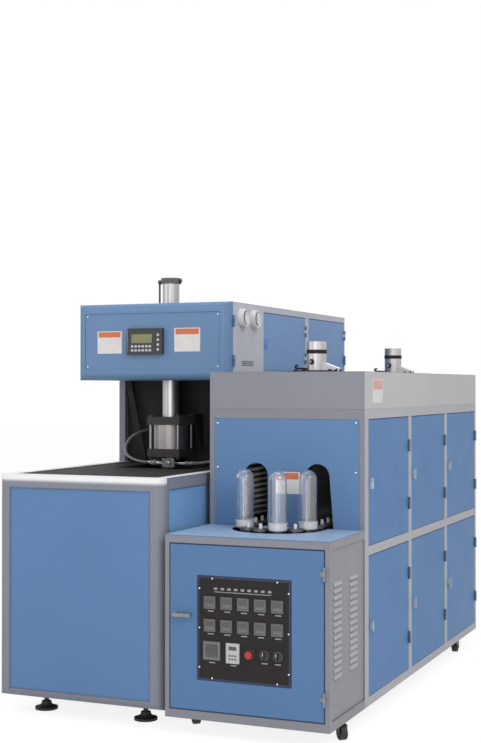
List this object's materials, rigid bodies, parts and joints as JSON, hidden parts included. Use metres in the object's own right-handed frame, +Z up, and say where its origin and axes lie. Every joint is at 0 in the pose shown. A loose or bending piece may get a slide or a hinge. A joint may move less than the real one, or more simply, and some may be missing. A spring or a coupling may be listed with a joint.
{
  "type": "blow moulding machine",
  "caption": "Two-unit stretch blow moulding machine: a clamp press with an overhanging head, beside a preform oven with a carrier chain and a low control cabinet.",
  "frame": {"origin": "on the floor under the middle of the overall box", "axes": "+X to the right seen from the front, +Y to the back, +Z up"},
  "size_m": [1.482, 2.38, 1.862],
  "materials": {
    "frame_paint": "satin grey paint",
    "panel_paint": "satin blue paint",
    "deck_black": "matt black paint",
    "machined_steel": "machined",
    "dark_steel": "blackened",
    "polished_rod": "polished",
    "mould_aluminium": "machined",
    "cast_grey": "painted",
    "hose_rubber": "matt",
    "black_plastic": "matt",
    "red_plastic": "gloss",
    "foot_rubber": "matt",
    "quartz": "clear",
    "preform_resin": "clear",
    "wheel_tread": "matt"
  },
  "bodies": {
    "machine_base": {"press_frame": "frame_paint", "press_panels": "panel_paint", "press_deck": "deck_black", "levelling_feet": "foot_rubber", "column_frame": "frame_paint", "clamp_frame": "dark_steel", "head_shell": "frame_paint", "pressure_gauges": "machined_steel", "stretch_cylinder": "machined_steel", "sealing_cylinder": "machined_steel", "air_hose_left": "hose_rubber", "air_hose_right": "hose_rubber", "oven_frame": "frame_paint", "oven_hood": "frame_paint", "oven_front_panel": "panel_paint", "oven_fixed_panels": "panel_paint", "step_deck": "panel_paint", "step_side_panels": "frame_paint", "lamp_tubes": "quartz", "lamp_racks": "machined_steel", "carrier_chain": "dark_steel", "drive_sprocket": "dark_steel", "idler_sprocket": "dark_steel", "gear_motor": "cast_grey", "blower_motors": "machined_steel"},
    "front_clamp": {"platen_front": "dark_steel", "mould_front": "mould_aluminium"},
    "rear_clamp": {"platen_rear": "dark_steel", "mould_rear": "mould_aluminium"},
    "stretch_piston": {"stretch_rod": "polished_rod"},
    "nozzle": {"blow_nozzle": "machined_steel"},
    "head_front_cover": {"head_front_door": "panel_paint", "operator_panel": "black_plastic"},
    "head_door_front_leaf": {"head_door_front": "panel_paint"},
    "head_door_rear_leaf": {"head_door_rear": "panel_paint"},
    "oven_door_upper_1_leaf": {"oven_door_upper_1": "panel_paint"},
    "oven_door_upper_2_leaf": {"oven_door_upper_2": "panel_paint"},
    "oven_door_upper_3_leaf": {"oven_door_upper_3": "panel_paint"},
    "oven_door_lower_1_leaf": {"oven_door_lower_1": "panel_paint"},
    "oven_door_lower_2_leaf": {"oven_door_lower_2": "panel_paint"},
    "oven_door_lower_3_leaf": {"oven_door_lower_3": "panel_paint"},
    "step_door_leaf": {"step_door": "panel_paint", "control_plate": "deck_black", "panel_meters": "black_plastic"},
    "door_latch": {"step_door_latch": "machined_steel"},
    "emergency_stop": {"stop_button": "red_plastic"},
    "selector_left_switch": {"selector_left": "black_plastic"},
    "selector_right_switch": {"selector_right": "black_plastic"},
    "spindle_unit_1": {"spindle_1": "machined_steel", "preform_1": "preform_resin"},
    "spindle_unit_2": {"spindle_2": "machined_steel", "preform_2": "preform_resin"},
    "spindle_unit_3": {"spindle_3": "machined_steel", "preform_3": "preform_resin"},
    "swivel_left": {"caster_fork_left": "machined_steel"},
    "swivel_right": {"caster_fork_right": "machined_steel"},
    "wheel_1": {"caster_wheel_1": "wheel_tread"},
    "wheel_2": {"caster_wheel_2": "wheel_tread"},
    "wheel_3": {"caster_wheel_3": "wheel_tread"},
    "wheel_4": {"caster_wheel_4": "wheel_tread"}
  },
  "joints": [
    {"name": "front_platen_slide", "type": "slide", "parent": "machine_base", "child": "front_clamp", "axis": [0, -1, 0], "range_m": [0, 0.13]},
    {"name": "rear_platen_slide", "type": "slide", "parent": "machine_base", "child": "rear_clamp", "axis": [0, 1, 0], "range_m": [0, 0.13]},
    {"name": "stretch_rod_slide", "type": "slide", "parent": "machine_base", "child": "stretch_piston", "axis": [0, 0, -1], "range_m": [0, 0.3]},
    {"name": "blow_nozzle_slide", "type": "slide", "parent": "machine_base", "child": "nozzle", "axis": [0, 0, -1], "range_m": [0, 0.025]},
    {"name": "head_front_door_hinge", "type": "hinge", "parent": "machine_base", "child": "head_front_cover", "pos_m": [0.0252, -0.43985, 1.56], "axis": [0, 0, 1], "range_deg": [0, 36]},
    {"name": "head_door_front_hinge", "type": "hinge", "parent": "machine_base", "child": "head_door_front_leaf", "pos_m": [0.0252, 0.47865, 1.57], "axis": [0, 0, 1], "range_deg": [0, 100]},
    {"name": "head_door_rear_hinge", "type": "hinge", "parent": "machine_base", "child": "head_door_rear_leaf", "pos_m": [0.0252, 1.087, 1.57], "axis": [0, 0, 1], "range_deg": [0, 33]},
    {"name": "oven_door_upper_1_hinge", "type": "hinge", "parent": "machine_base", "child": "oven_door_upper_1_leaf", "pos_m": [0.7332, -0.109, 0.968], "axis": [0, 0, 1], "range_deg": [0, 115]},
    {"name": "oven_door_upper_2_hinge", "type": "hinge", "parent": "machine_base", "child": "oven_door_upper_2_leaf", "pos_m": [0.7332, 0.525, 0.968], "axis": [0, 0, 1], "range_deg": [0, 115]},
    {"name": "oven_door_upper_3_hinge", "type": "hinge", "parent": "machine_base", "child": "oven_door_upper_3_leaf", "pos_m": [0.7332, 1.159, 0.968], "axis": [0, 0, 1], "range_deg": [0, 115]},
    {"name": "oven_door_lower_1_hinge", "type": "hinge", "parent": "machine_base", "child": "oven_door_lower_1_leaf", "pos_m": [0.7332, -0.109, 0.388], "axis": [0, 0, 1], "range_deg": [0, 115]},
    {"name": "oven_door_lower_2_hinge", "type": "hinge", "parent": "machine_base", "child": "oven_door_lower_2_leaf", "pos_m": [0.7332, 0.525, 0.388], "axis": [0, 0, 1], "range_deg": [0, 115]},
    {"name": "oven_door_lower_3_hinge", "type": "hinge", "parent": "machine_base", "child": "oven_door_lower_3_leaf", "pos_m": [0.7332, 1.159, 0.388], "axis": [0, 0, 1], "range_deg": [0, 115]},
    {"name": "step_door_hinge", "type": "hinge", "parent": "machine_base", "child": "step_door_leaf", "pos_m": [0.7065, -1.1722, 0.424], "axis": [0, 0, 1], "range_deg": [0, 110]},
    {"name": "step_door_latch_turn", "type": "hinge", "parent": "step_door_leaf", "child": "door_latch", "pos_m": [0.092, -1.166, 0.471], "axis": [0, 1, 0], "range_deg": [0, 90]},
    {"name": "stop_button_press", "type": "slide", "parent": "step_door_leaf", "child": "emergency_stop", "axis": [0, 1, 0], "range_m": [0, 0.005], "stiffness_N_per_m": 900},
    {"name": "selector_left_turn", "type": "hinge", "parent": "step_door_leaf", "child": "selector_left_switch", "pos_m": [0.4655, -1.166, 0.337], "axis": [0, 1, 0], "range_deg": [-45, 45]},
    {"name": "selector_right_turn", "type": "hinge", "parent": "step_door_leaf", "child": "selector_right_switch", "pos_m": [0.5205, -1.166, 0.337], "axis": [0, 1, 0], "range_deg": [-45, 45]},
    {"name": "spindle_1_spin", "type": "hinge", "parent": "machine_base", "child": "spindle_unit_1", "pos_m": [0.25224, -0.85523, 0.76], "axis": [0, 0, 1], "continuous": true},
    {"name": "spindle_2_spin", "type": "hinge", "parent": "machine_base", "child": "spindle_unit_2", "pos_m": [0.42923, -0.93776, 0.76], "axis": [0, 0, 1], "continuous": true},
    {"name": "spindle_3_spin", "type": "hinge", "parent": "machine_base", "child": "spindle_unit_3", "pos_m": [0.51826, -0.83203, 0.76], "axis": [0, 0, 1], "continuous": true},
    {"name": "caster_swivel_left", "type": "hinge", "parent": "machine_base", "child": "swivel_left", "pos_m": [0.076, -0.966, 0.06], "axis": [0, 0, 1], "continuous": true},
    {"name": "caster_swivel_right", "type": "hinge", "parent": "machine_base", "child": "swivel_right", "pos_m": [0.695, -0.966, 0.06], "axis": [0, 0, 1], "continuous": true},
    {"name": "caster_wheel_1_spin", "type": "hinge", "parent": "swivel_left", "child": "wheel_1", "pos_m": [0.09297, -0.98297, 0.028], "axis": [0.7071, 0.7071, 0], "continuous": true},
    {"name": "caster_wheel_2_spin", "type": "hinge", "parent": "swivel_right", "child": "wheel_2", "pos_m": [0.71197, -0.98297, 0.028], "axis": [0.7071, 0.7071, 0], "continuous": true},
    {"name": "caster_wheel_3_spin", "type": "hinge", "parent": "machine_base", "child": "wheel_3", "pos_m": [0.076, 0.862, 0.028], "axis": [1, 0, 0], "continuous": true},
    {"name": "caster_wheel_4_spin", "type": "hinge", "parent": "machine_base", "child": "wheel_4", "pos_m": [0.695, 0.862, 0.028], "axis": [1, 0, 0], "continuous": true}
  ],
  "couplings": [
    {"joint": "rear_platen_slide", "follows": "front_platen_slide", "ratio": 1}
  ]
}
